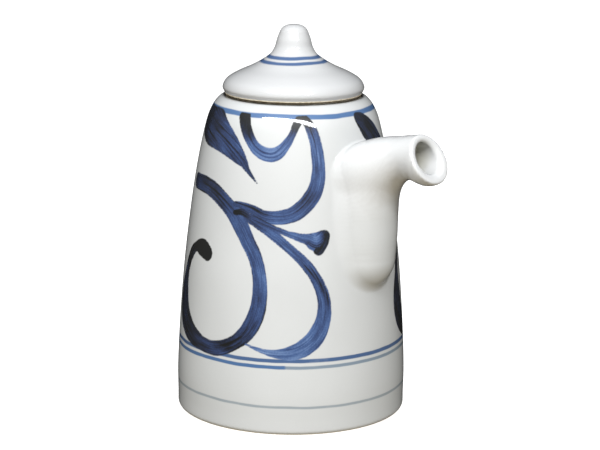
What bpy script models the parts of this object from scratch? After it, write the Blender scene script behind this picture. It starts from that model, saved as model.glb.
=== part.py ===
"""Porcelain sake pourer: a tapered round jug, its spout, and a lift-off lid with a knob.

The jug stands on its foot ring at z = 0 and its spout points along +X. The origin is the middle
of the whole pourer's footprint, so the jug's own axis stands a little way back, at AXIS_X.
Outlines and stations are in millimetres from the jug's axis; MM turns them into metres.
"""

import math

import bmesh
import bpy
from mathutils import Vector

MM = 0.001

# Driving dimensions, in millimetres.
BODY_RADIUS = 35.0      # widest part of the jug, low on the wall
RIM_HEIGHT = 96.9       # the flat rim that the lid sits on
RIM_OUTER = 20.2
RIM_BEVEL = 0.7
MOUTH_RADIUS = 17.0
WALL = 3.2
FLOOR_HEIGHT = 5.6      # inside of the jug's bottom
SPOUT_REACH = 55.0      # jug's axis to the front of the lip
KNOB_TOP = 117.9
KNOB_JOINT = 109.2      # height at which the knob stands on the lid
GAP = 0.3               # clearance between pieces that touch

AXIS_X = (BODY_RADIUS - SPOUT_REACH) / 2

# Foot ring, in millimetres.
FOOT_OUTER = 33.6
FOOT_INNER = 29.4
FOOT_ROUND = 1.35
RECESS_HEIGHT = 1.6
RECESS_RADIUS = 28.6
FLOOR_ROUND = 4.9

# Locating flange under the lid, in millimetres.
FLANGE_OUTER = 16.4
FLANGE_INNER = 14.2
FLANGE_BOTTOM = 92.0
FLANGE_ROUND = 0.7

# Pour hole through the wall behind the spout, in millimetres.
POUR_HOLE_HALF_WIDTH = 4.6
POUR_HOLE_HALF_HEIGHT = 8.5
POUR_HOLE_HEIGHT = 61.0
POUR_HOLE_CUT_DEPTH = 14.0

# The jug's outer wall as (radius, height), from the rim down to the foot.
OUTER_WALL = (
    (RIM_OUTER, RIM_HEIGHT),
    (22.0, 96.2),
    (23.6, 94.6),
    (25.0, 92.2),
    (26.3, 88.5),
    (28.0, 81.0),
    (29.7, 71.5),
    (31.3, 60.0),
    (33.0, 45.0),
    (34.3, 28.0),
    (BODY_RADIUS, 13.0),
    (34.95, 4.0),
)

# The inside of the shoulder as (radius, height), from the wall up to the mouth.
INNER_SHOULDER = (
    (24.8, 81.0),
    (23.0, 87.0),
    (20.5, 91.2),
    (17.9, 93.2),
    (MOUTH_RADIUS, 94.6),
)

# The lid's top as (radius, height), from under the knob down to its rim.
LID_TOP = (
    (7.0, KNOB_JOINT - GAP),
    (9.6, 107.1),
    (13.0, 105.2),
    (17.0, 103.4),
    (20.2, 101.4),
    (21.4, 99.2),
    (20.9, 97.4),
)

# The hollow under the lid as (radius, height), from the flange up to the middle.
LID_HOLLOW = (
    (FLANGE_INNER, 98.6),
    (13.2, 101.4),
    (9.6, 103.9),
    (5.0, 105.2),
    (0.0, 105.6),
)

# The knob as (radius, height), from the lid up to its tip.
KNOB_SIDE = (
    (6.75, KNOB_JOINT),
    (5.7, 111.2),
    (5.1, 113.4),
    (4.4, 115.4),
    (3.2, 117.1),
    (0.0, KNOB_TOP),
)

# The spout's rings as (distance from the axis, height, outer radius, bore radius, facing angle).
# The facing angle is the way each ring looks along the spout, in degrees above level.
SPOUT_STATIONS = (
    (28.5, 50.0, 9.2, 5.9, 82.0),
    (28.1, 56.8, 10.0, 6.7, 90.0),
    (28.4, 64.4, 10.2, 7.0, 86.0),
    (29.9, 71.4, 9.8, 6.7, 70.0),
    (33.3, 77.2, 8.7, 5.7, 47.0),
    (38.4, 80.9, 7.3, 4.9, 27.0),
    (43.8, 82.9, 6.5, 4.5, 17.0),
    (48.4, 83.5, 6.75, 4.7, 18.0),
    (52.4, 83.4, 7.5, 5.5, 28.0),
)

JUG_SEGMENTS = 60
LID_SEGMENTS = 44
KNOB_SEGMENTS = 28
SPOUT_SIDES = 24
POUR_HOLE_SIDES = 24
CURVE_STEPS = 2         # steps between two given points of a smooth outline
ARC_STEPS = 4
MERGE_DISTANCE = 0.001

PORCELAIN = (0.83, 0.84, 0.83, 1.0)
GLAZE_ROUGHNESS = 0.12
SHARP_ANGLE = math.radians(40)


def smooth_through(points):
    """Points on a Catmull-Rom curve that passes through the given ones."""
    known = [Vector(point) for point in points]
    known = [2 * known[0] - known[1]] + known + [2 * known[-1] - known[-2]]
    curve = []
    for before, start, end, after in zip(known, known[1:], known[2:], known[3:]):
        for step in range(CURVE_STEPS):
            t = step / CURVE_STEPS
            linear = (end - before) * t
            square = (2 * before - 5 * start + 4 * end - after) * t**2
            cube = (3 * start - before - 3 * end + after) * t**3
            curve.append(start + (linear + square + cube) / 2)
    curve.append(known[-2])
    return curve


def arc(centre_radius, centre_height, radius, first, last):
    """Points on an arc, both ends included, with angles in degrees from straight outward."""
    points = []
    for i in range(ARC_STEPS + 1):
        angle = math.radians(first + (last - first) * i / ARC_STEPS)
        reach = radius * math.cos(angle)
        points.append(Vector((centre_radius + reach, centre_height + radius * math.sin(angle))))
    return points


def glazed(name):
    """A glossy porcelain material of its own for one piece."""
    material = bpy.data.materials.new(name + "_porcelain")
    material.use_nodes = True
    shader = material.node_tree.nodes["Principled BSDF"]
    shader.inputs["Base Color"].default_value = PORCELAIN
    shader.inputs["Roughness"].default_value = GLAZE_ROUGHNESS
    shader.inputs["Metallic"].default_value = 0.0
    return material


def finish_piece(name, bm, parent):
    """Turn a bmesh in millimetres into a smooth-shaded object under the given parent."""
    bmesh.ops.remove_doubles(bm, verts=bm.verts, dist=MERGE_DISTANCE)
    bmesh.ops.recalc_face_normals(bm, faces=bm.faces)
    bmesh.ops.scale(bm, verts=bm.verts, vec=(MM, MM, MM))
    mesh = bpy.data.meshes.new(name)
    bm.to_mesh(mesh)
    bm.free()
    mesh.shade_smooth()
    mesh.set_sharp_from_angle(angle=SHARP_ANGLE)
    piece = bpy.data.objects.new(name, mesh)
    bpy.context.scene.collection.objects.link(piece)
    piece.parent = parent
    return piece


def turned(name, outline, segments, parent):
    """Spin an outline of (radius, height) points once round the jug's axis."""
    bm = bmesh.new()
    verts = [bm.verts.new((radius, 0.0, height)) for radius, height in outline]
    edges = [bm.edges.new(pair) for pair in zip(verts, verts[1:])]
    bmesh.ops.spin(
        bm, geom=verts + edges, cent=(0, 0, 0), axis=(0, 0, 1), angle=math.tau, steps=segments
    )
    return finish_piece(name, bm, parent)


def swept(name, rings, sides, parent):
    """Skin a row of rings, each (centre, direction, radius), whose two ends have no radius."""
    bm = bmesh.new()
    across = Vector((0, 1, 0))
    loops = []
    for centre, direction, radius in rings:
        up = across.cross(direction)
        turns = [math.tau * i / sides for i in range(sides)]
        loops.append([
            bm.verts.new(centre + radius * (math.cos(turn) * across + math.sin(turn) * up))
            for turn in turns
        ])
    for lower, upper in zip(loops, loops[1:]):
        for i in range(sides):
            after = (i + 1) % sides
            bm.faces.new((lower[i], lower[after], upper[after], upper[i]))
    return finish_piece(name, bm, parent)


def as_cutter(piece):
    """Mark a piece as one that only cuts others."""
    piece.hide_render = True
    piece.display_type = "WIRE"
    return piece


def cut(piece, cutter):
    """Take the cutter's shape out of a piece."""
    boolean = piece.modifiers.new("cut_by_" + cutter.name, "BOOLEAN")
    boolean.operation = "DIFFERENCE"
    boolean.solver = "EXACT"
    boolean.object = cutter


def jug_outline():
    """The jug's wall, foot ring and inside, from the rim's outer edge round to its inner edge."""
    outer = smooth_through(OUTER_WALL)
    foot_edge = arc(FOOT_OUTER, FOOT_ROUND, FOOT_ROUND, 0, -90)
    foot = [
        Vector((FOOT_INNER, 0.0)),
        Vector((RECESS_RADIUS, RECESS_HEIGHT)),
        Vector((0.0, RECESS_HEIGHT)),
        Vector((0.0, FLOOR_HEIGHT)),
    ]
    floor_edge_radius = BODY_RADIUS - WALL - FLOOR_ROUND
    floor_edge_height = FLOOR_HEIGHT + FLOOR_ROUND
    floor_edge = arc(floor_edge_radius, floor_edge_height, FLOOR_ROUND, -90, 0)
    inner_wall = [
        Vector((radius - WALL, height))
        for radius, height in reversed(OUTER_WALL)
        if floor_edge_height < height < INNER_SHOULDER[0][1]
    ]
    shoulder = smooth_through(INNER_SHOULDER)
    rim = [
        Vector((MOUTH_RADIUS, RIM_HEIGHT - RIM_BEVEL)),
        Vector((MOUTH_RADIUS + RIM_BEVEL, RIM_HEIGHT)),
    ]
    whole = outer + foot_edge + foot + floor_edge + inner_wall + shoulder + rim
    return whole + [whole[0]]


def wall_envelope_outline():
    """The jug's outside grown by the gap and filled in to the axis."""
    grown = [Vector((radius + GAP, height)) for radius, height in smooth_through(OUTER_WALL)]
    return [Vector((0.0, RIM_HEIGHT))] + grown + [Vector((0.0, grown[-1].y))]


def lid_outline():
    """The lid's dome, seat, locating flange and hollow, from the middle out and back."""
    seat_height = RIM_HEIGHT + GAP
    flange_low = FLANGE_BOTTOM + FLANGE_ROUND
    dome = [Vector((0.0, LID_TOP[0][1]))] + smooth_through(LID_TOP)
    seat = [Vector((RIM_OUTER + GAP, seat_height)), Vector((FLANGE_OUTER, seat_height))]
    flange = (
        arc(FLANGE_OUTER - FLANGE_ROUND, flange_low, FLANGE_ROUND, 0, -90)
        + arc(FLANGE_INNER + FLANGE_ROUND, flange_low, FLANGE_ROUND, -90, -180)
    )
    return dome + seat + flange + smooth_through(LID_HOLLOW)


def knob_outline():
    """The knob, from the middle of its foot round to its tip."""
    return [Vector((0.0, KNOB_JOINT))] + smooth_through(KNOB_SIDE)


def round_end(centre, facing, radius):
    """Rings that round off a closed end behind the given one, from the pole upwards."""
    rings = []
    for i in range(ARC_STEPS):
        angle = math.pi / 2 * i / ARC_STEPS
        rings.append((centre - facing * radius * math.cos(angle), facing, radius * math.sin(angle)))
    return rings


def lip(centre, facing, outer_radius, bore_radius):
    """Rings that round the lip over from the outside to the bore."""
    middle = (outer_radius + bore_radius) / 2
    roundness = (outer_radius - bore_radius) / 2
    rings = []
    for i in range(1, ARC_STEPS):
        angle = math.pi * i / ARC_STEPS
        ahead = centre + facing * roundness * math.sin(angle)
        rings.append((ahead, facing, middle + roundness * math.cos(angle)))
    return rings


def spout_rings():
    """Rings up the spout's outside, over its lip, and back down the bore."""
    outside = []
    inside = []
    for reach, height, outer_radius, bore_radius, angle in smooth_through(SPOUT_STATIONS):
        centre = Vector((reach, 0.0, height))
        facing = Vector((math.cos(math.radians(angle)), 0.0, math.sin(math.radians(angle))))
        outside.append((centre, facing, outer_radius))
        inside.append((centre, facing, bore_radius))
    over_lip = lip(*outside[-1], inside[-1][2])
    return round_end(*outside[0]) + outside + over_lip + inside[::-1] + round_end(*inside[0])[::-1]


def make_jug_body(parent):
    """The jug itself, with the pour hole that feeds the spout."""
    jug = turned("jug_body", jug_outline(), JUG_SEGMENTS, parent)
    bm = bmesh.new()
    bmesh.ops.create_cone(
        bm,
        cap_ends=True,
        segments=POUR_HOLE_SIDES,
        radius1=1.0,
        radius2=1.0,
        depth=POUR_HOLE_CUT_DEPTH,
    )
    for vert in bm.verts:
        across, upward, through = vert.co
        vert.co = (
            BODY_RADIUS - WALL + through,
            across * POUR_HOLE_HALF_WIDTH,
            POUR_HOLE_HEIGHT + upward * POUR_HOLE_HALF_HEIGHT,
        )
    cut(jug, as_cutter(finish_piece("pour_hole_cutter", bm, parent)))
    jug.data.materials.append(glazed("jug_body"))


def make_spout(parent):
    """The spout, cut to the jug's wall so that its hollow opens onto the pour hole."""
    spout = swept("spout", spout_rings(), SPOUT_SIDES, parent)
    envelope = turned("wall_envelope", wall_envelope_outline(), JUG_SEGMENTS, parent)
    cut(spout, as_cutter(envelope))
    spout.data.materials.append(glazed("spout"))


def make_lid(parent):
    """The lid without its knob."""
    lid = turned("lid", lid_outline(), LID_SEGMENTS, parent)
    lid.data.materials.append(glazed("lid"))


def make_lid_knob(parent):
    """The knob that stands on the lid."""
    knob = turned("lid_knob", knob_outline(), KNOB_SEGMENTS, parent)
    knob.data.materials.append(glazed("lid_knob"))


def add_axis(name):
    """An empty on the jug's axis, at the height of the surface that it stands on."""
    axis = bpy.data.objects.new(name, None)
    axis.location = (AXIS_X * MM, 0.0, 0.0)
    bpy.context.scene.collection.objects.link(axis)
    return axis


def main():
    for old in list(bpy.data.objects):
        bpy.data.objects.remove(old)
    jug_axis = add_axis("jug_axis")
    lid_axis = add_axis("lid_axis")
    make_jug_body(jug_axis)
    make_spout(jug_axis)
    make_lid(lid_axis)
    make_lid_knob(lid_axis)


main()
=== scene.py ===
"""Looks of the porcelain sake pourer: a jug fused with its spout, and a lid with its knob, both
thrown in white porcelain, painted by brush in cobalt under a clear glaze.

Shapes are worked out in millimetres from the jug's axis, with the spout along +X, and go back to
metres in the frame's own axes at the end. A "turn" is an angle in degrees round the jug, clockwise
from the spout as seen from above.
"""

import math

import bpy
import numpy as np
from mathutils import Matrix, Vector


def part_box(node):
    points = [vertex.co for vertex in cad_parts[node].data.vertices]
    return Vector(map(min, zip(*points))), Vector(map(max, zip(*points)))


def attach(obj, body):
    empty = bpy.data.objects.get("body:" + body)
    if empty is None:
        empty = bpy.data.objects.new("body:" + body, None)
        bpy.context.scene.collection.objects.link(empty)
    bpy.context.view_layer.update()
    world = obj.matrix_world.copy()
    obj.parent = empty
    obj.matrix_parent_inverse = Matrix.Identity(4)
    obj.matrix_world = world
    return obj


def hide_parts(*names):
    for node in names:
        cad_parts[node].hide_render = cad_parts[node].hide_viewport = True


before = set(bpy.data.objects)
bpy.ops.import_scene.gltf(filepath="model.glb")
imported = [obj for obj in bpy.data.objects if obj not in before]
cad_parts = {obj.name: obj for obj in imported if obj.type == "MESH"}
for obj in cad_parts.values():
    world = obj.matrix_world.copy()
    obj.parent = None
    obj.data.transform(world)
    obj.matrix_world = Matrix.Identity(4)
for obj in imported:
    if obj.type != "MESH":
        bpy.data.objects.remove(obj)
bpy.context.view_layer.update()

MM = 0.001
jug_low, jug_high = (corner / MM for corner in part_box("jug_body"))
_, spout_high = (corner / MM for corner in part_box("spout"))
lid_low, _ = (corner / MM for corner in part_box("lid"))
_, knob_high = (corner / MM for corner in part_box("lid_knob"))

# Driving dimensions, in millimetres, from the frame.
AXIS_X = (jug_low.x + jug_high.x) / 2
BODY_RADIUS = (jug_high.x - jug_low.x) / 2
RIM_HEIGHT = jug_high.z
SEAT_GAP = 0.25                      # between the jug's rim and the seated lid
SEAT_HEIGHT = RIM_HEIGHT + SEAT_GAP
KNOB_TOP = knob_high.z
FLANGE_BOTTOM = lid_low.z

# The jug, in millimetres.
WALL = 3.2
MOUTH_RADIUS = 17.0
RIM_OUTER = 20.2         # where the flat rim turns down into the shoulder
RIM_ROUND = 0.7
RIM_FALL = 0.05          # the rim's outer edge is this much lower than its middle
FOOT_OUTER = 33.6
FOOT_ROUND = 1.35
FOOT_INNER = 29.4
FOOT_INNER_ROUND = 0.6
RECESS_HEIGHT = 1.6      # the shallow recess inside the foot ring
RECESS_RADIUS = 28.6
INSIDE_FLOOR = 5.6
INSIDE_FLOOR_ROUND = 4.9
OUTER_WALL = (
    (22.0, 96.2),
    (23.6, 94.6),
    (25.0, 92.2),
    (26.3, 88.5),
    (28.0, 81.0),
    (29.7, 71.5),
    (31.3, 60.0),
    (33.0, 45.0),
    (34.3, 28.0),
    (BODY_RADIUS, 13.0),
    (34.95, 4.0),
)
INNER_SHOULDER = (
    (24.8, 81.0),
    (23.0, 87.0),
    (20.5, 91.2),
    (17.9, 93.2),
    (MOUTH_RADIUS, 94.6),
)

# The spout's rings as (distance from the axis, height, radius): its outside, its bore, and its
# shoulder, which runs back into the jug and whose rows end with the half width of its flat top.
SPOUT_OUTSIDE = (
    (27.6, 51.2, 10.4),
    (27.4, 57.5, 11.0),
    (27.7, 64.5, 10.9),
    (29.3, 71.5, 10.1),
    (32.8, 77.0, 8.9),
    (38.3, 80.9, 7.3),
    (43.8, 82.9, 6.5),
    (48.4, 83.5, 6.75),
    (52.4, 83.4, 7.5),
)
SPOUT_BORE = (
    (28.0, 51.0, 6.8),
    (28.2, 64.5, 7.2),
    (30.0, 71.5, 6.8),
    (33.6, 77.2, 5.8),
    (38.6, 80.9, 4.9),
    (44.0, 82.9, 4.4),
    (48.6, 83.6, 4.5),
    (51.0, 83.7, 4.6),
    (53.6, 84.2, 4.85),
)
SPOUT_SHOULDER = (
    (22.0, 76.5, 6.5, 3.8),
    (28.0, 78.2, 6.4, 3.6),
    (33.0, 79.8, 6.1, 1.8),
    (37.5, 81.2, 5.0, 0.3),
)
SHOULDER_BLEND = 3.5
LIP_FACING = 28.0        # degrees above level
LIP_ROUND = 0.5
# The fillet where the spout was luted on, as (height, radius): crisp at its top and bottom.
FILLETS = ((42.0, 1.6), (54.0, 2.3), (76.0, 2.8), (84.0, 1.0))
HOLE_FILLET = 1.5
POUR_HOLE = (4.6, 8.5, 61.0)     # half width, half height, height of its middle
HOLE_DEPTH = 30.5        # it ends in the spout's bore, this far from the axis
SPOUT_SIDE = 8.0         # nothing of the spout matters nearer to the axis than this
# The painted light in the spout's bore, a paler straw white that brightens its shaded inside: how
# far from the bore it reaches, how far from the axis it ends, and the length over which it fades
# out before that end.
BORE_LIGHT_EDGE = 1.2
BORE_LIGHT_END = 50.5
BORE_LIGHT_FADE = 6.0

# The lid, in millimetres.
LID_TOP = (
    (5.1, 113.4),
    (5.7, 111.2),
    (7.0, 109.05),
    (9.6, 107.1),
    (13.0, 105.2),
    (17.0, 103.4),
    (20.2, 101.4),
    (21.4, 99.2),
    (20.9, 97.75),
)
KNOB_ROUND = ((0.0, KNOB_TOP), (1.7, 117.75), (3.2, 117.1), (4.05, 116.1), (4.55, 114.9))
LID_HOLLOW = (
    (14.2, 98.6),
    (13.2, 101.4),
    (9.6, 103.9),
    (5.0, 105.2),
    (0.0, 105.6),
)
LID_EDGE_ROUND = 0.5
LID_EDGE_MIDDLE = 20.35  # the middle of that rounding, from the axis
LID_EDGE_START = -10     # the angle at which the lid's top runs into it
FLANGE_OUTER = 16.4
FLANGE_INNER = 14.2
FLANGE_ROUND = 0.7
FLANGE_BEVEL = 0.3       # between the seat and the flange

# The brushwork on the wall. A stroke is rows of (turn, height, half width, darkness); a layer's
# strokes never cross, and a later layer is painted over an earlier one.
LEAF = (
    (121.0, 90.2, 6.2, 0.85),
    (112.0, 88.7, 6.2, 0.74),
    (104.0, 87.4, 5.2, 0.66),
    (96.0, 85.8, 4.3, 0.6),
    (90.0, 84.2, 3.5, 0.6),
    (84.0, 82.2, 2.6, 0.62),
    (79.0, 80.2, 1.6, 0.64),
    (75.0, 77.8, 0.85, 0.66),
    (68.0, 74.2, 0.2, 0.7),
)
CUP = (
    (83.3, 93.2, 2.1, 0.98),
    (79.6, 89.6, 1.9, 0.85),
    (73.2, 85.4, 1.8, 0.44),
    (66.0, 83.2, 2.1, 0.36),
    (58.5, 83.2, 2.1, 0.35),
    (52.6, 85.8, 1.5, 0.42),
    (48.4, 88.9, 1.15, 0.62),
    (46.2, 91.2, 1.25, 0.95),
    (43.9, 93.0, 1.3, 1.15),
)
HOOK = (
    (40.6, 93.4, 1.3, 1.2),
    (37.8, 91.8, 1.5, 0.95),
    (36.0, 90.0, 1.75, 0.62),
    (33.6, 86.0, 1.9, 0.46),
    (32.5, 79.7, 2.1, 0.46),
    (34.0, 74.2, 2.35, 0.54),
    (38.5, 70.1, 2.5, 0.6),
    (46.0, 66.5, 2.4, 0.55),
    (54.5, 65.1, 2.2, 0.5),
    (63.0, 65.2, 1.9, 0.6),
    (71.0, 66.9, 1.5, 0.62),
    (77.0, 67.6, 1.3, 0.6),
    (81.5, 68.0, 0.9, 0.6),
)
GREAT_LOOP = (
    (122.0, 71.6, 2.5, 0.75),
    (106.7, 71.5, 2.7, 0.7),
    (95.8, 69.9, 2.7, 0.72),
    (86.0, 66.8, 2.6, 0.62),
    (79.4, 63.6, 2.8, 0.52),
    (72.2, 57.5, 2.4, 0.55),
    (66.7, 51.8, 2.25, 0.52),
    (64.3, 44.5, 2.3, 0.5),
    (65.4, 37.2, 2.6, 0.62),
    (70.2, 31.0, 2.6, 0.68),
    (78.0, 26.8, 2.3, 0.78),
    (88.0, 24.3, 2.4, 0.7),
    (98.0, 24.5, 2.4, 0.72),
    (110.0, 26.7, 3.5, 0.84),
    (119.4, 31.2, 4.3, 0.8),
    (122.2, 37.0, 3.7, 0.78),
    (120.6, 44.0, 2.0, 0.78),
    (115.8, 50.1, 1.8, 0.86),
    (110.0, 52.8, 1.7, 1.0),
    (104.0, 53.0, 2.9, 1.15),
    (99.4, 52.0, 2.6, 1.15),
)
HIGH_BUD = (
    (81.4, 65.5, 0.9, 0.98),
    (76.5, 65.8, 1.1, 0.85),
    (70.0, 64.4, 1.05, 0.7),
    (60.5, 62.5, 0.9, 0.55),
    (51.1, 60.6, 1.0, 0.52),
    (43.5, 59.3, 1.4, 0.5),
    (38.5, 58.7, 2.0, 0.52),
    (34.4, 58.0, 2.9, 0.46),
    (30.2, 59.9, 1.6, 0.92),
    (31.2, 57.9, 1.8, 0.85),
    (33.8, 55.7, 1.8, 0.85),
)
LOW_LOOP = (
    (74.0, 64.3, 1.0, 0.6),
    (67.0, 62.6, 1.3, 0.56),
    (59.0, 60.3, 1.6, 0.5),
    (49.6, 56.2, 1.5, 0.52),
    (41.4, 51.9, 1.7, 0.55),
    (35.1, 46.9, 1.8, 0.56),
    (31.5, 41.2, 2.1, 0.56),
    (31.8, 35.2, 2.4, 0.5),
    (35.8, 30.0, 2.85, 0.47),
    (41.4, 26.9, 2.7, 0.41),
    (47.5, 25.3, 2.3, 0.38),
    (54.5, 24.9, 1.5, 0.33),
    (62.0, 25.5, 0.85, 0.31),
    (71.0, 27.1, 0.35, 0.31),
)
BEHIND_SPOUT_LEAF = (
    (-1.6, 92.6, 1.6, 0.85),
    (-5.8, 90.9, 3.1, 0.85),
    (-12.0, 87.6, 4.1, 0.8),
    (-19.0, 83.8, 4.2, 0.74),
    (-28.0, 80.0, 3.0, 0.7),
    (-38.0, 76.6, 1.4, 0.66),
    (-46.0, 74.2, 0.1, 0.66),
)
# The motif goes round the jug three times: how far each copy is turned, its width as a share of
# the first one's, its leaf, and how much darker it is. The narrow leaf beside the spout is already
# in its own place, and all else is narrowed towards the turn at which the first copy starts.
MOTIF_START = 29.0
MOTIFS = (
    (0.0, 1.0, LEAF, 0.0),
    (110.0, 0.98, LEAF, 0.04),
    (-120.5, 0.72, BEHIND_SPOUT_LEAF, 0.03),
)
LAYER_COUNT = 4
PAINT_TOP = 94.15        # no stroke goes over the line under the rim
STROKE_REACH = 3.0       # how far outside a stroke its depth is still known
PAINT_GATE = 0.4         # paint ends where the surface leaves the wall by this much

# How finely shapes are worked out: lengths in millimetres, and counts.
MESH_STEP = 0.66
SECTION_STEP = 0.2
MARGIN = 3.0             # how far a net reaches past the shape it is thrown over
TABLE_MARGIN = 8.0       # how far a turned shape's table reaches past the spout's tip
FAR = 30.0               # stands for any distance that is too far to matter
TINY = 1e-6
ARC_STEPS = 10
CURVE_STEPS = 6
LID_SEGMENTS = 200
GRADIENT_STEP = 0.05
RELAX_ROUNDS = 4
SETTLE_ROUNDS = 3


# ---------------------------------------------------------------- outlines


def smooth_through(points, steps=CURVE_STEPS):
    """Points on a Catmull-Rom curve that passes through the given rows of numbers."""
    known = np.array(points, float)
    known = np.vstack([2 * known[0] - known[1], known, 2 * known[-1] - known[-2]])
    share = np.linspace(0, 1, steps, endpoint=False)[:, None]
    curve = []
    for before, start, end, after in zip(known, known[1:], known[2:], known[3:]):
        linear = (end - before) * share
        square = (2 * before - 5 * start + 4 * end - after) * share**2
        cube = (3 * start - before - 3 * end + after) * share**3
        curve.append(start + (linear + square + cube) / 2)
    return np.vstack(curve + [known[-2]])


def arc(centre_radius, centre_height, radius, first, last):
    """Points on an arc, both ends included, with angles in degrees from straight outward."""
    angles = np.radians(np.linspace(first, last, ARC_STEPS + 1))
    return np.column_stack(
        [centre_radius + radius * np.cos(angles), centre_height + radius * np.sin(angles)]
    )


def jug_outside():
    """(radius, height) from the middle of the rim's level, down the wall and round the foot."""
    wall = smooth_through(((RIM_OUTER, RIM_HEIGHT - RIM_FALL), *OUTER_WALL))
    return np.vstack([
        [(0.0, RIM_HEIGHT), (RIM_OUTER - RIM_ROUND, RIM_HEIGHT)],
        wall,
        arc(FOOT_OUTER, FOOT_ROUND, FOOT_ROUND, 0, -90),
        arc(FOOT_INNER + FOOT_INNER_ROUND, FOOT_INNER_ROUND, FOOT_INNER_ROUND, -90, -150),
        [(RECESS_RADIUS, RECESS_HEIGHT), (0.0, RECESS_HEIGHT)],
    ])


def jug_inside():
    """(radius, height) of the hollow, from above the mouth down to the middle of the floor."""
    above = RIM_HEIGHT + MARGIN
    wall = [
        (radius - WALL, height)
        for radius, height in OUTER_WALL
        if INSIDE_FLOOR + INSIDE_FLOOR_ROUND < height < INNER_SHOULDER[0][1]
    ]
    corner = BODY_RADIUS - WALL - INSIDE_FLOOR_ROUND
    return np.vstack([
        [(0.0, above), (MOUTH_RADIUS + RIM_ROUND, above)],
        arc(MOUTH_RADIUS + RIM_ROUND, RIM_HEIGHT - RIM_ROUND, RIM_ROUND, 90, 180),
        smooth_through(INNER_SHOULDER[::-1])[:-1],
        [INNER_SHOULDER[0]],
        wall,
        arc(corner, INSIDE_FLOOR + INSIDE_FLOOR_ROUND, INSIDE_FLOOR_ROUND, 0, -90),
        [(0.0, INSIDE_FLOOR)],
    ])


def lid_section():
    """(radius, height) from the knob's tip, over the lid, round its edge and flange, to inside."""
    edge_height = SEAT_HEIGHT + LID_EDGE_ROUND
    flange_height = FLANGE_BOTTOM + FLANGE_ROUND
    return np.vstack([
        smooth_through(KNOB_ROUND + LID_TOP),
        arc(LID_EDGE_MIDDLE, edge_height, LID_EDGE_ROUND, LID_EDGE_START, -90),
        [(FLANGE_OUTER + FLANGE_BEVEL, SEAT_HEIGHT), (FLANGE_OUTER, SEAT_HEIGHT - FLANGE_BEVEL)],
        arc(FLANGE_OUTER - FLANGE_ROUND, flange_height, FLANGE_ROUND, 0, -90),
        arc(FLANGE_INNER + FLANGE_ROUND, flange_height, FLANGE_ROUND, -90, -180),
        smooth_through(LID_HOLLOW),
    ])


# ---------------------------------------------------------------- distance fields


def section_distance(radius, height, outline):
    """Signed distance to the area between an outline and the axis, negative inside."""
    nearest = np.full(radius.shape, np.inf)
    inside = np.zeros(radius.shape, bool)
    for (r0, z0), (r1, z1) in zip(outline, outline[1:]):
        dr, dz = r1 - r0, z1 - z0
        length_squared = max(dr * dr + dz * dz, TINY**2)
        share = np.clip(((radius - r0) * dr + (height - z0) * dz) / length_squared, 0, 1)
        apart = np.hypot(radius - r0 - share * dr, height - z0 - share * dz)
        nearest = np.minimum(nearest, apart)
        if z0 != z1:
            level = (z0 > height) != (z1 > height)
            inside ^= level & (radius < r0 + (height - z0) / dz * dr)
    return np.where(inside, -nearest, nearest)


def turned_field(outline):
    """The distance to a turned shape, as a function of points, from a table of its section."""
    radii = np.arange(0, SPOUT_OUTSIDE[-1][0] + TABLE_MARGIN, SECTION_STEP)
    heights = np.arange(-2 * MARGIN, RIM_HEIGHT + 2 * MARGIN, SECTION_STEP)
    table = section_distance(*np.meshgrid(radii, heights, indexing="ij"), outline)

    def field(points):
        # Each point is read between the four entries of the table round it.
        across = np.hypot(points[:, 0], points[:, 1]) / SECTION_STEP
        upward = (points[:, 2] - heights[0]) / SECTION_STEP
        i = np.clip(across.astype(int), 0, len(radii) - 2)
        j = np.clip(upward.astype(int), 0, len(heights) - 2)
        a, b = across - i, upward - j
        low = table[i, j] * (1 - a) + table[i + 1, j] * a
        high = table[i, j + 1] * (1 - a) + table[i + 1, j + 1] * a
        return low * (1 - b) + high * b

    return field


def tube_field(stations):
    """The distance to a tube through the spout's rings, as a function of points."""
    rings = smooth_through(stations)
    if rings.shape[1] == 3:
        rings = np.column_stack([rings, np.zeros(len(rings))])

    def field(points):
        nearest = np.full(len(points), FAR)
        close = points[:, 0] > SPOUT_SIDE
        x, y, z = points[close].T
        best = np.full(len(x), FAR)
        for (x0, z0, radius0, flat0), (x1, z1, radius1, flat1) in zip(rings, rings[1:]):
            dx, dz = x1 - x0, z1 - z0
            share = np.clip(((x - x0) * dx + (z - z0) * dz) / (dx * dx + dz * dz), 0, 1)
            sideways = np.maximum(np.abs(y) - flat0 - share * (flat1 - flat0), 0)
            off_axis = np.sqrt(
                (x - x0 - share * dx) ** 2 + sideways**2 + (z - z0 - share * dz) ** 2
            )
            best = np.minimum(best, off_axis - radius0 - share * (radius1 - radius0))
        nearest[close] = best
        return nearest

    return field


def joined(one, other, fillet):
    """Both shapes together, with a round fillet where they meet."""
    reach = np.hypot(np.maximum(fillet - one, 0), np.maximum(fillet - other, 0))
    return np.maximum(fillet, np.minimum(one, other)) - reach


def common(one, other, rounding):
    """What both shapes share, with rounded edges."""
    reach = np.hypot(np.maximum(rounding + one, 0), np.maximum(rounding + other, 0))
    return np.minimum(-rounding, np.maximum(one, other)) + reach


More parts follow.
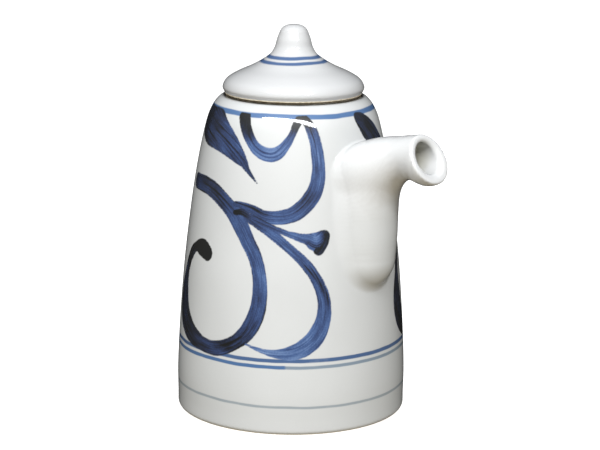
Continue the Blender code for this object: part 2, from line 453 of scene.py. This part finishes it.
def jug_field():
    """Distances, as functions of points, to the fired jug, its turned outside and its bore."""
    outside = turned_field(jug_outside())
    inside = turned_field(jug_inside())
    tube = tube_field(SPOUT_OUTSIDE)
    shoulder = tube_field(SPOUT_SHOULDER)
    bore = tube_field(SPOUT_BORE)
    facing = np.array([math.cos(math.radians(LIP_FACING)), 0, math.sin(math.radians(LIP_FACING))])
    lip_centre = np.array([SPOUT_OUTSIDE[-1][0], 0, SPOUT_OUTSIDE[-1][1]]) + facing * LIP_ROUND
    half_width, half_height, hole_height = POUR_HOLE

    def field(points):
        past_lip = (points - lip_centre) @ facing
        spout = joined(tube(points), shoulder(points), SHOULDER_BLEND)
        spout = common(spout, past_lip, LIP_ROUND)
        fillet = np.interp(points[:, 2], *np.transpose(FILLETS))
        solid = joined(outside(points), spout, fillet)
        solid = np.maximum(solid, -inside(points))
        x, y, z = points.T
        hole = (np.hypot(y / half_width, (z - hole_height) / half_height) - 1) * half_width
        through = np.abs(x - HOLE_DEPTH / 2) - HOLE_DEPTH / 2
        hollow = np.minimum(bore(points), np.maximum(hole, through))
        return common(solid, -hollow, HOLE_FILLET)

    return field, outside, bore


# ---------------------------------------------------------------- meshes


def net_over(field, low, high, step):
    """A net of quads over the surface of a distance field: its points and its faces."""
    axes = [np.arange(a, b + step, step) for a, b in zip(low, high)]
    shape = tuple(len(axis) for axis in axes)
    inside = np.zeros(shape, bool)
    plane_y, plane_z = np.meshgrid(axes[1], axes[2], indexing="ij")
    for i, x in enumerate(axes[0]):
        plane = np.column_stack([np.full(plane_y.size, x), plane_y.ravel(), plane_z.ravel()])
        inside[i] = (field(plane) < 0).reshape(shape[1:])
    corners = sum(
        inside[i:shape[0] - 1 + i, j:shape[1] - 1 + j, k:shape[2] - 1 + k].astype(int)
        for i in (0, 1) for j in (0, 1) for k in (0, 1)
    )
    crossed = (corners > 0) & (corners < 8)
    number = np.full(crossed.shape, -1)
    number[crossed] = np.arange(crossed.sum())
    points = np.argwhere(crossed) * step + np.array(low) + step / 2
    faces = []
    for axis in range(3):
        turned = np.moveaxis(inside, axis, 0)
        cells = np.moveaxis(number, axis, 0)
        leaving = turned[:-1] & ~turned[1:]
        entering = ~turned[:-1] & turned[1:]
        for edges, order in ((leaving, (0, 1, 2, 3)), (entering, (3, 2, 1, 0))):
            n, j, k = np.nonzero(edges[:, 1:-1, 1:-1])
            ring = (cells[n, j, k], cells[n, j + 1, k], cells[n, j + 1, k + 1], cells[n, j, k + 1])
            # With the middle axis in front, the other two keep the opposite turning sense.
            if axis == 1:
                ring = ring[::-1]
            faces.append(np.column_stack([ring[i] for i in order]))
    return points, np.vstack(faces)


def slope(field, points):
    """The field's value and unit gradient at each point."""
    value = field(points)
    gradient = np.column_stack([
        field(points + step) - field(points - step) for step in np.eye(3) * GRADIENT_STEP
    ])
    return value, gradient / np.linalg.norm(gradient, axis=1, keepdims=True)


def settled(field, points):
    """Points moved onto the field's surface."""
    for _ in range(SETTLE_ROUNDS):
        value, normal = slope(field, points)
        points = points - value[:, None] * normal
    return points


def relaxed(field, points, faces):
    """Points evened out along the surface, each towards the middle of its neighbours."""
    starts = faces.ravel()
    ends = np.roll(faces, -1, axis=1).ravel()
    pairs = np.vstack([np.column_stack([starts, ends]), np.column_stack([ends, starts])])
    count = np.bincount(pairs[:, 0], minlength=len(points))[:, None]
    for _ in range(RELAX_ROUNDS):
        middle = np.column_stack([
            np.bincount(pairs[:, 0], weights=points[pairs[:, 1], i], minlength=len(points))
            for i in range(3)
        ]) / count
        value, normal = slope(field, middle)
        points = middle - value[:, None] * normal
    return settled(field, points)


def add_piece(name, points, faces):
    """A smooth-shaded object from points in millimetres round the jug's axis."""
    mesh = bpy.data.meshes.new(name)
    mesh.from_pydata((np.array(points) + (AXIS_X, 0, 0)) * MM, [], faces)
    mesh.validate()
    mesh.shade_smooth()
    piece = bpy.data.objects.new(name, mesh)
    bpy.context.scene.collection.objects.link(piece)
    return piece


# ---------------------------------------------------------------- brushwork on the wall


def motif_layers():
    """The strokes of each layer, over all three copies of the motif."""
    layers = [[] for _ in range(LAYER_COUNT)]
    for shift, width, leaf, darker in MOTIFS:

        def moved(stroke):
            return [
                (MOTIF_START + (turn - MOTIF_START) * width + shift, height, half, dark + darker)
                for turn, height, half, dark in stroke
            ]

        own_leaf = leaf if leaf is BEHIND_SPOUT_LEAF else moved(leaf)
        layers[0].extend([own_leaf, moved(CUP), moved(GREAT_LOOP)])
        layers[1].append(moved(HOOK))
        layers[2].append(moved(LOW_LOOP))
        layers[3].append(moved(HIGH_BUD))
    return layers


def wrapped(turn):
    """An angle in degrees, brought to between -180 and 180."""
    return (turn + 180) % 360 - 180


def brushed(points, strokes):
    """Each point's place in its nearest stroke: depth inside its edge, side, along, darkness."""
    curve = smooth_through(OUTER_WALL)
    lengths = np.concatenate([[0], np.cumsum(np.hypot(*np.diff(curve, axis=0).T))])

    def wall_length(height):
        return np.interp(-height, -curve[:, 1], lengths)

    turn = -np.degrees(np.arctan2(points[:, 1], points[:, 0]))
    radius = np.hypot(points[:, 0], points[:, 1])
    down = wall_length(points[:, 2])
    place = np.tile([-STROKE_REACH, 0.0, 0.0, 0.0], (len(points), 1))
    for stroke in strokes:
        rows = smooth_through(stroke)
        along = 0.0
        for start, end in zip(rows, rows[1:]):
            turn0, height0, half0, dark0 = start
            turn1, height1, half1, dark1 = end
            reach = max(half0, half1) + STROKE_REACH
            across = radius * np.radians(wrapped(turn - turn0))
            below = down - wall_length(height0)
            near = np.nonzero((np.abs(across) < 2 * reach) & (np.abs(below) < 2 * reach))[0]
            across, below = across[near], below[near]
            run = radius[near] * math.radians(turn1 - turn0)
            drop = wall_length(height1) - wall_length(height0)
            length = np.maximum(np.hypot(run, drop), TINY)
            share = np.clip((across * run + below * drop) / length**2, 0, 1)
            apart = np.hypot(across - share * run, below - share * drop)
            depth = half0 + share * (half1 - half0) - apart
            better = depth > place[near, 0]
            side = np.sign(across * drop - below * run) * apart
            found = np.column_stack([
                depth, side, along + share * length, dark0 + share * (dark1 - dark0)
            ])
            place[near[better]] = found[better]
            along += float(np.mean(length)) if len(length) else abs(drop)
    return place


def paint_wall(mesh, points, leaving):
    """Keeps the brushwork on a mesh as attributes, cut where the surface leaves the wall. Each
    layer's stroke_N holds depth, side and along, and dark_N the darkness."""
    gate = PAINT_GATE - np.abs(leaving)
    for number, strokes in enumerate(motif_layers(), start=1):
        place = brushed(points, strokes)
        place[:, 0] = np.minimum(place[:, 0], np.minimum(gate, PAINT_TOP - points[:, 2]))
        where = mesh.attributes.new(f"stroke_{number}", "FLOAT_VECTOR", "POINT")
        where.data.foreach_set("vector", place[:, :3].ravel())
        dark = mesh.attributes.new(f"dark_{number}", "FLOAT", "POINT")
        dark.data.foreach_set("value", place[:, 3])
    wall = mesh.attributes.new("wall", "FLOAT", "POINT")
    wall.data.foreach_set("value", gate)


def make_jug():
    """The jug with its spout as one fired shape."""
    field, outside, bore = jug_field()
    low = (-BODY_RADIUS - MARGIN, -BODY_RADIUS - MARGIN, -MARGIN)
    high = (spout_high.x - AXIS_X + MARGIN, BODY_RADIUS + MARGIN, RIM_HEIGHT + MARGIN)
    points, faces = net_over(field, low, high, MESH_STEP)
    points = relaxed(field, settled(field, points), faces)
    jug = add_piece("jug_with_spout", points, faces.tolist())
    _, normal = slope(field, points)
    jug.data.normals_split_custom_set_from_vertices(normal)
    paint_wall(jug.data, points, outside(points))
    # Where the bore's painted light goes: near the bore, fading out towards the lip.
    in_bore = np.clip(1 - bore(points) / BORE_LIGHT_EDGE, 0, 1)
    back_from_lip = np.clip((BORE_LIGHT_END - points[:, 0]) / BORE_LIGHT_FADE, 0, 1)
    bore_light_share = jug.data.attributes.new("bore_light_share", "FLOAT", "POINT")
    bore_light_share.data.foreach_set("value", in_bore * back_from_lip)
    return jug


def make_lid():
    """The lid and its knob as one turned shape."""
    outline = lid_section()
    angles = np.linspace(0, math.tau, LID_SEGMENTS, endpoint=False)
    points = [(0, 0, outline[0][1])]
    points += [
        (radius * math.cos(angle), radius * math.sin(angle), height)
        for radius, height in outline[1:-1]
        for angle in angles
    ]
    points.append((0, 0, outline[-1][1]))
    bottom = len(points) - 1
    last_ring = bottom - 1 - LID_SEGMENTS
    faces = []
    for i in range(LID_SEGMENTS):
        here = 1 + i
        after = 1 + (i + 1) % LID_SEGMENTS
        faces.append((0, here, after))
        for upper in range(0, last_ring, LID_SEGMENTS):
            lower = upper + LID_SEGMENTS
            faces.append((upper + here, lower + here, lower + after, upper + after))
        faces.append((last_ring + here, bottom, last_ring + after))
    return add_piece("lid_with_knob", points, faces)


# ---------------------------------------------------------------- materials


def tone(red, green, blue):
    """A colour as the renderer takes it, from the usual 0 to 255 numbers."""
    levels = [level / 255 for level in (red, green, blue)]
    return (*(((v + 0.055) / 1.055) ** 2.4 if v > 0.04045 else v / 12.92 for v in levels), 1)


# The porcelain, with faint clouds and grain in so many lumps to a metre, and the glaze over it.
JUG_WHITE = tone(236, 237, 236)
# Painted light: a whiter copy of the porcelain for the upper spout, which brightens it.
SPOUT_PAINTED_LIGHT = tone(245, 245, 244)
# Painted shade: a greyer copy of the porcelain for the lid, which faces the light more than the
# wall.
LID_SHADED_WHITE = tone(230, 230, 230)
CLOUD_LUMPS = 40
CLOUD_SPAN = (0.3, 0.7)
CLOUD_DEPTH = 0.94            # the white of a cloud, as a share of the white around it
GRAIN_LUMPS = 1600
GRAIN_GREY = tone(214, 214, 208)
GRAIN_SHARE = 0.12
BODY_ROUGHNESS = 0.45
GLAZE_ROUGHNESS = 0.035
GLASS_IOR = 1.5
GLAZE_TINT = (0.6, 0.61, 0.62, 1)    # it darkens the edges, where the eye looks through more glaze
BORE_PAINTED_LIGHT = tone(250, 246, 228)     # painted light: a paler straw white that brightens the spout's shaded bore

# The bare clay, and the heights in millimetres between which the glaze gives way to it.
BISCUIT = tone(234, 224, 202)
BISCUIT_DARK = tone(192, 177, 148)
SPECKLE_LUMPS = 900
SPECKLE_SPAN = (0.3, 0.6)
BARE_RIM = (RIM_HEIGHT - 0.15, RIM_HEIGHT)
BARE_FOOT = (0.45, 0.2)
BARE_SEAT = (SEAT_HEIGHT + 0.55, SEAT_HEIGHT + 0.4)

# Lines round the pots as (lower height, upper height, colour).
LINE_BLUE = tone(84, 122, 172)
LINE_DEEP = tone(80, 110, 156)
LINE_PALE = tone(146, 163, 178)
LINE_FAINT = tone(176, 185, 190)
JUG_LINES = (
    (93.1, 94.4, LINE_BLUE),
    (22.3, 23.4, LINE_DEEP),
    (20.4, 21.3, LINE_PALE),
    (8.4, 9.15, LINE_FAINT),
)
LID_LINES = ((108.05, 108.85, LINE_DEEP), (106.75, 107.45, LINE_DEEP))
# The brush was loaded again for half of the jug's third line, which is blue from this turn on.
RELOADED_LINE = (20.4, 21.4, LINE_BLUE)
RELOADED_TURN = 50.0
# The dark brown line under the rim: where the glaze stops, and a painted shadow of the gap under
# the seated lid.
GAP_SHADOW_AND_GLAZE_END_LINE = (RIM_HEIGHT - 0.36, RIM_HEIGHT, tone(28, 22, 13))
LINE_SOFTNESS = 0.22          # how far a line's edge is soft to either side
LINE_WANDER = 0.9             # how far a line strays up and down over the turn
LINE_WANDER_LUMPS = 60
LINE_COVER = 1.15             # how thickly a line is painted, with thinner places below 1
LINE_COVER_LUMPS = 150

# Where the jug's "wall" attribute, which falls off the wall, counts as the wall and as the spout,
# and the heights between which the spout's painted light sets in: a whiter porcelain, painted on
# the upper spout and in its bore, that lightens them as if more light fell there.
ON_WALL = (0.0, 0.2)
ON_SPOUT = (0.2, -2.0)
SPOUT_LIGHT_HEIGHTS = (60, 76)

# The cobalt's colour by its darkness, and what makes a stroke uneven: a ragged edge, streaks along
# the brush, pools, and dark veins, in lumps to a millimetre across and along the stroke.
COBALT = (
    (0.0, tone(170, 190, 214)),
    (0.25, tone(120, 148, 194)),
    (0.45, tone(78, 107, 160)),
    (0.62, tone(54, 75, 122)),
    (0.78, tone(36, 47, 77)),
    (0.9, tone(20, 26, 38)),
    (1.0, tone(11, 14, 15)),
)
STROKE_EDGE = (-0.1, 0.25)    # the depths where the paint begins and where it covers
RAGGED_LUMPS = 400
RAGGED_DEPTH = 0.3
STREAKS = {"stretch": (2.2, 0.1, 1), "detail": 5}
STREAK_WEIGHT = 0.65
POOLS = {"stretch": (0.4, 0.14, 1), "offset": (31, 17, 0), "detail": 2}
POOL_WEIGHT = 0.45
VEINS = {"stretch": (1.0, 0.05, 1), "offset": (11, 53, 0), "detail": 3}
VEIN_SPAN = (0.06, 0.22)
VEIN_WEIGHT = 0.3
COBALT_GRAIN_LUMPS = 2200
COBALT_GRAIN_WEIGHT = 0.22
COBALT_STRENGTH = 0.045       # added to every stroke's darkness
LAYER_STEP = 7.0              # keeps one layer's streaks unlike the next one's


class Recipe:
    """The nodes of a material or a world, with short ways to add and join them."""

    def __init__(self, owner, place):
        """Starts on a material or a world; place names the coordinates its patterns follow."""
        owner.use_nodes = True
        self.owner = owner
        self.nodes = owner.node_tree.nodes
        self.links = owner.node_tree.links
        self.place = self.add("ShaderNodeTexCoord").outputs[place]

    def add(self, kind, **settings):
        """A new node with its settings."""
        node = self.nodes.new(kind)
        for setting, value in settings.items():
            setattr(node, setting, value)
        return node

    def join(self, value, socket):
        """Links a node's output to a socket, or sets the socket to a plain value."""
        if isinstance(value, bpy.types.NodeSocket):
            self.links.new(value, socket)
        else:
            socket.default_value = value

    def math(self, operation, first, second, clamp=False):
        """A sum, difference or product of two values."""
        node = self.add("ShaderNodeMath", operation=operation, use_clamp=clamp)
        self.join(first, node.inputs[0])
        self.join(second, node.inputs[1])
        return node.outputs[0]

    def rise(self, value, start, end, low=0.0, high=1.0):
        """Low up to start and high from end, evened out between them."""
        node = self.add("ShaderNodeMapRange", interpolation_type="SMOOTHSTEP")
        self.join(value, node.inputs["Value"])
        self.join(start, node.inputs["From Min"])
        self.join(end, node.inputs["From Max"])
        self.join(low, node.inputs["To Min"])
        self.join(high, node.inputs["To Max"])
        return node.outputs["Result"]

    def split(self, vector):
        """The three parts of a vector."""
        node = self.add("ShaderNodeSeparateXYZ")
        self.join(vector, node.inputs[0])
        return [node.outputs[axis] for axis in "XYZ"]

    def towards(self, vector, direction):
        """How far a vector reaches in a fixed direction."""
        node = self.add("ShaderNodeVectorMath", operation="DOT_PRODUCT")
        self.join(vector, node.inputs[0])
        self.join(direction, node.inputs[1])
        return node.outputs["Value"]

    def noise(self, vector, lumps, detail=2, stretch=(1, 1, 1), offset=(0, 0, 0)):
        """Noise from 0 to 1, with so many lumps to each unit of the vector."""
        mapping = self.add("ShaderNodeMapping")
        self.join(vector, mapping.inputs["Vector"])
        self.join(offset, mapping.inputs["Location"])
        self.join(stretch, mapping.inputs["Scale"])
        node = self.add("ShaderNodeTexNoise")
        self.join(mapping.outputs[0], node.inputs["Vector"])
        self.join(lumps, node.inputs["Scale"])
        self.join(detail, node.inputs["Detail"])
        return node.outputs[0]

    def wander(self, vector, lumps, weight, **pattern):
        """Noise around 0, from minus half the weight to half the weight."""
        around_zero = self.math("SUBTRACT", self.noise(vector, lumps, **pattern), 0.5)
        return self.math("MULTIPLY", around_zero, weight)

    def blend(self, share, under, over):
        """One colour over another, by a share from 0 to 1."""
        node = self.add("ShaderNodeMix", data_type="RGBA")
        self.join(share, node.inputs["Factor"])
        colours = [socket for socket in node.inputs if socket.type == "RGBA"]
        self.join(under, colours[0])
        self.join(over, colours[1])
        return next(socket for socket in node.outputs if socket.type == "RGBA")

    def ramp(self, value, stops):
        """A colour for each value, between rows of (value, colour)."""
        node = self.add("ShaderNodeValToRGB")
        self.join(value, node.inputs["Fac"])
        elements = node.color_ramp.elements
        while len(elements) < len(stops):
            elements.new(1.0)
        for element, (position, colour) in zip(elements, stops):
            element.position = position
            element.color = colour
        return node.outputs["Color"]

    def attribute(self, name, output):
        """What a mesh keeps under a name."""
        return self.add("ShaderNodeAttribute", attribute_name=name).outputs[output]


def glazed_porcelain(name, white):
    """White porcelain, faintly uneven, under a clear glaze; returns its recipe and colour."""
    recipe = Recipe(bpy.data.materials.new(name), "Object")
    clouds = recipe.noise(recipe.place, CLOUD_LUMPS, detail=3)
    cloudy = tuple(part * CLOUD_DEPTH for part in white[:3]) + (1.0,)
    body = recipe.ramp(clouds, tuple(zip(CLOUD_SPAN, (cloudy, white))))
    grain = recipe.math("MULTIPLY", recipe.noise(recipe.place, GRAIN_LUMPS), GRAIN_SHARE)
    body = recipe.blend(grain, body, GRAIN_GREY)
    shader = recipe.nodes["Principled BSDF"]
    shader.inputs["Roughness"].default_value = BODY_ROUGHNESS
    shader.inputs["IOR"].default_value = GLASS_IOR
    shader.inputs["Coat Roughness"].default_value = GLAZE_ROUGHNESS
    shader.inputs["Coat IOR"].default_value = GLASS_IOR
    shader.inputs["Coat Tint"].default_value = GLAZE_TINT
    return recipe, body


def height_of(recipe):
    """The height over the floor in millimetres, plain and with a brushed line's slight wander."""
    _, _, height = recipe.split(recipe.place)
    level = recipe.math("MULTIPLY", height, 1 / MM)
    stray = recipe.wander(recipe.place, LINE_WANDER_LUMPS, LINE_WANDER)
    return level, recipe.math("ADD", level, stray)


def past_turn(recipe, turn):
    """1 on the half of the pot that begins at that turn, 0 on the other."""
    across = (-math.sin(math.radians(turn)), -math.cos(math.radians(turn)), 0)
    start = across[0] * AXIS_X * MM
    return recipe.rise(recipe.towards(recipe.place, across), start, start + MM)


def banded(recipe, colour, level, line, gate=1.0):
    """A painted line round the pot between two heights, thinner and thicker in places."""
    low, high, paint = line
    above = recipe.rise(level, low - LINE_SOFTNESS, low + LINE_SOFTNESS)
    below = recipe.rise(level, high + LINE_SOFTNESS, high - LINE_SOFTNESS)
    share = recipe.math("MULTIPLY", recipe.math("MULTIPLY", above, below), gate)
    uneven = recipe.wander(recipe.place, LINE_COVER_LUMPS, 1.0, detail=3)
    cover = recipe.math("ADD", uneven, LINE_COVER)
    return recipe.blend(recipe.math("MULTIPLY", share, cover, clamp=True), colour, paint)


def brushed_over(recipe, colour, number):
    """One layer of cobalt strokes: streaky along the brush, darker where the paint pooled."""
    depth, side, along = recipe.split(recipe.attribute(f"stroke_{number}", "Vector"))
    ragged = recipe.wander(recipe.place, RAGGED_LUMPS, RAGGED_DEPTH)
    cover = recipe.rise(recipe.math("ADD", depth, ragged), *STROKE_EDGE)
    lane = recipe.add("ShaderNodeCombineXYZ")
    recipe.join(side, lane.inputs["X"])
    recipe.join(along, lane.inputs["Y"])
    recipe.join(LAYER_STEP * number, lane.inputs["Z"])
    veins = recipe.rise(recipe.wander(lane.outputs[0], 1.0, 1.0, **VEINS), *VEIN_SPAN)
    dark = recipe.math("ADD", recipe.attribute(f"dark_{number}", "Fac"), COBALT_STRENGTH)
    for unevenness in (
        recipe.wander(lane.outputs[0], 1.0, STREAK_WEIGHT, **STREAKS),
        recipe.wander(lane.outputs[0], 1.0, POOL_WEIGHT, **POOLS),
        recipe.wander(recipe.place, COBALT_GRAIN_LUMPS, COBALT_GRAIN_WEIGHT),
        recipe.math("MULTIPLY", veins, VEIN_WEIGHT),
    ):
        dark = recipe.math("ADD", dark, unevenness)
    return recipe.blend(cover, colour, recipe.ramp(dark, COBALT))


def bared(recipe, colour, bare):
    """Finishes a material: unglazed biscuit where bare is 1, glaze elsewhere."""
    speckle = recipe.noise(recipe.place, SPECKLE_LUMPS, detail=4)
    biscuit = recipe.ramp(speckle, tuple(zip(SPECKLE_SPAN, (BISCUIT_DARK, BISCUIT))))
    shader = recipe.nodes["Principled BSDF"]
    recipe.join(recipe.blend(bare, colour, biscuit), shader.inputs["Base Color"])
    recipe.join(recipe.math("SUBTRACT", 1.0, bare), shader.inputs["Coat Weight"])
    return recipe.owner


def jug_glaze():
    """The jug's porcelain with its lines, its brushwork, and bare clay on its rim and foot."""
    recipe, colour = glazed_porcelain("jug_glaze", JUG_WHITE)
    level, wandering = height_of(recipe)
    kept_wall = recipe.attribute("wall", "Fac")
    wall = recipe.rise(kept_wall, *ON_WALL)
    high_up = recipe.rise(level, *SPOUT_LIGHT_HEIGHTS)
    spout = recipe.math("MULTIPLY", recipe.rise(kept_wall, *ON_SPOUT), high_up)
    # Painted light: the upper spout and its bore take the whiter porcelain.
    colour = recipe.blend(spout, colour, SPOUT_PAINTED_LIGHT)
    for line in JUG_LINES:
        colour = banded(recipe, colour, wandering, line, wall)
    reloaded = recipe.math("MULTIPLY", wall, past_turn(recipe, RELOADED_TURN))
    colour = banded(recipe, colour, wandering, RELOADED_LINE, reloaded)
    for number in range(1, LAYER_COUNT + 1):
        colour = brushed_over(recipe, colour, number)
    # Painted light in the spout's bore: a paler straw white.
    colour = recipe.blend(recipe.attribute("bore_light_share", "Fac"), colour, BORE_PAINTED_LIGHT)
    # Painted shadow of the gap under the lid, on the glaze's edge under the rim.
    colour = banded(recipe, colour, level, GAP_SHADOW_AND_GLAZE_END_LINE, wall)
    rim = recipe.rise(level, *BARE_RIM)
    foot = recipe.rise(level, *BARE_FOOT)
    return bared(recipe, colour, recipe.math("ADD", rim, foot, clamp=True))


def lid_glaze():
    """The lid's porcelain with the two lines round its knob, and bare clay from its seat down."""
    # The lid takes the greyer copy of the porcelain: painted shade.
    recipe, colour = glazed_porcelain("lid_glaze", LID_SHADED_WHITE)
    level, wandering = height_of(recipe)
    for line in LID_LINES:
        colour = banded(recipe, colour, wandering, line)
    return bared(recipe, colour, recipe.rise(level, *BARE_SEAT))


# ---------------------------------------------------------------- stage


# Azimuths and elevations are in degrees and distances in metres.
CAMERA_AZIMUTH = 42.0
CAMERA_PITCH = 12.6
CAMERA_ROLL = 0.536
CAMERA_DISTANCE = 0.6272
CAMERA_AIM = 0.05614          # the height that it looks at, on the jug's axis
CAMERA_LENS = 122.8           # in millimetres
CAMERA_SHIFT = 0.01305

FLOOR_SIZE = 12.0
FLOOR_COLOUR = (0.6, 0.6, 0.6, 1)
FLOOR_ROUGHNESS = 0.9
FLOOR_GLOW = 0.62

# A long, thin soft box, which makes the highlight on the shoulder.
KEY_AZIMUTH = 37
KEY_ELEVATION = 46
KEY_ROLL = -12
KEY_DISTANCE = 0.9
KEY_LENGTH = 1.15
KEY_WIDTH = 0.09
KEY_POWER = 14.5

# The room's colour from straight down (0) over level (0.5) to straight up (1).
ROOM_COLOURS = (
    (0.08, (0.42, 0.36, 0.26, 1)),
    (0.34, (0.15, 0.13, 0.09, 1)),
    (0.5, (0.27, 0.27, 0.265, 1)),
    (0.62, (0.28, 0.28, 0.28, 1)),
    (0.8, (0.45, 0.45, 0.45, 1)),
    (1.0, (0.52, 0.52, 0.53, 1)),
)
ROOM_LIGHT = 2.12             # how strongly the room lights the pots, the same from all round
# How strongly the glaze mirrors the room, straight behind the jug and in front of it, and how far
# towards the camera, from -1 to 1, a direction is behind and in front.
ROOM_MIRRORED = (0.05, 0.9)
ROOM_TURNS_BRIGHT = (-1.0, -0.1)


def direction_at(azimuth, elevation):
    """The direction from the jug to a place at that azimuth and elevation, in degrees."""
    azimuth, elevation = math.radians(azimuth), math.radians(elevation)
    level = math.cos(elevation)
    return Vector((math.sin(azimuth) * level, -math.cos(azimuth) * level, math.sin(elevation)))


def floor_paint():
    """Pale paint that glows, so that the floor is as white as the photograph's ground."""
    material = bpy.data.materials.new("pale_floor")
    material.use_nodes = True
    shader = material.node_tree.nodes["Principled BSDF"]
    shader.inputs["Base Color"].default_value = FLOOR_COLOUR
    shader.inputs["Roughness"].default_value = FLOOR_ROUGHNESS
    shader.inputs["Emission Color"].default_value = (1, 1, 1, 1)
    shader.inputs["Emission Strength"].default_value = FLOOR_GLOW
    return material


def add_floor():
    """A wide floor, which only the camera sees: the room stands for its light on the pots."""
    bpy.ops.mesh.primitive_plane_add(size=FLOOR_SIZE, location=(0, 0, 0))
    floor = bpy.context.object
    floor.name = "floor"
    floor.data.materials.append(floor_paint())
    floor.visible_glossy = False
    floor.visible_diffuse = False


def add_key_light():
    """The soft box, looking at the jug's middle."""
    data = bpy.data.lights.new("key", "AREA")
    data.shape = "RECTANGLE"
    data.size = KEY_LENGTH
    data.size_y = KEY_WIDTH
    data.energy = KEY_POWER
    light = bpy.data.objects.new("key", data)
    back = direction_at(KEY_AZIMUTH, KEY_ELEVATION)
    target = Vector((AXIS_X, 0, RIM_HEIGHT / 2)) * MM
    light.location = target + back * KEY_DISTANCE
    turn = (-back).to_track_quat("-Z", "Y").to_matrix()
    light.rotation_euler = (turn @ Matrix.Rotation(math.radians(KEY_ROLL), 3, "Z")).to_euler()
    bpy.context.scene.collection.objects.link(light)


def add_world():
    """A room that is the same all round, bright above and warm from the table below. The glaze
    mirrors it darker behind the jug, and the camera sees plain white in its place."""
    world = bpy.data.worlds.new("studio")
    bpy.context.scene.world = world
    recipe = Recipe(world, "Generated")
    _, _, upward = recipe.split(recipe.place)
    share_up = recipe.math("MULTIPLY", recipe.math("ADD", upward, 1.0), 0.5)
    front = recipe.towards(recipe.place, direction_at(CAMERA_AZIMUTH, 0))
    mirrored = recipe.rise(front, *ROOM_TURNS_BRIGHT, *ROOM_MIRRORED)
    ray = recipe.add("ShaderNodeLightPath")
    strength = recipe.add("ShaderNodeMix")
    recipe.join(ray.outputs["Is Glossy Ray"], strength.inputs["Factor"])
    recipe.join(ROOM_LIGHT, strength.inputs["A"])
    recipe.join(mirrored, strength.inputs["B"])
    room = recipe.nodes["Background"]
    recipe.join(recipe.ramp(share_up, ROOM_COLOURS), room.inputs["Color"])
    recipe.join(strength.outputs["Result"], room.inputs["Strength"])
    white = recipe.add("ShaderNodeBackground")
    seen = recipe.add("ShaderNodeMixShader")
    recipe.join(ray.outputs["Is Camera Ray"], seen.inputs["Fac"])
    recipe.join(room.outputs[0], seen.inputs[1])
    recipe.join(white.outputs[0], seen.inputs[2])
    recipe.join(seen.outputs[0], recipe.nodes["World Output"].inputs["Surface"])


def add_camera():
    """The camera, looking down a little at the jug's axis."""
    back = direction_at(CAMERA_AZIMUTH, CAMERA_PITCH)
    azimuth = math.radians(CAMERA_AZIMUTH)
    right = Vector((math.cos(azimuth), math.sin(azimuth), 0))
    up = back.cross(right)
    roll = math.radians(CAMERA_ROLL)
    rolled_right = right * math.cos(roll) + up * math.sin(roll)
    rolled_up = up * math.cos(roll) - right * math.sin(roll)
    data = bpy.data.cameras.new("camera")
    data.lens = CAMERA_LENS
    data.shift_x = CAMERA_SHIFT
    camera = bpy.data.objects.new("camera", data)
    aim = Vector((AXIS_X * MM, 0, CAMERA_AIM))
    place = Matrix((rolled_right, rolled_up, back)).transposed().to_4x4()
    place.translation = aim + back * CAMERA_DISTANCE
    camera.matrix_world = place
    bpy.context.scene.collection.objects.link(camera)
    bpy.context.scene.camera = camera


jug = make_jug()
jug.data.materials.append(jug_glaze())
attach(jug, "jug")
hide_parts("jug_body", "spout")

lid = make_lid()
lid.data.materials.append(lid_glaze())
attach(lid, "lid")
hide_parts("lid", "lid_knob")

add_floor()
add_world()
add_key_light()
add_camera()
bpy.context.scene.view_settings.view_transform = "Standard"
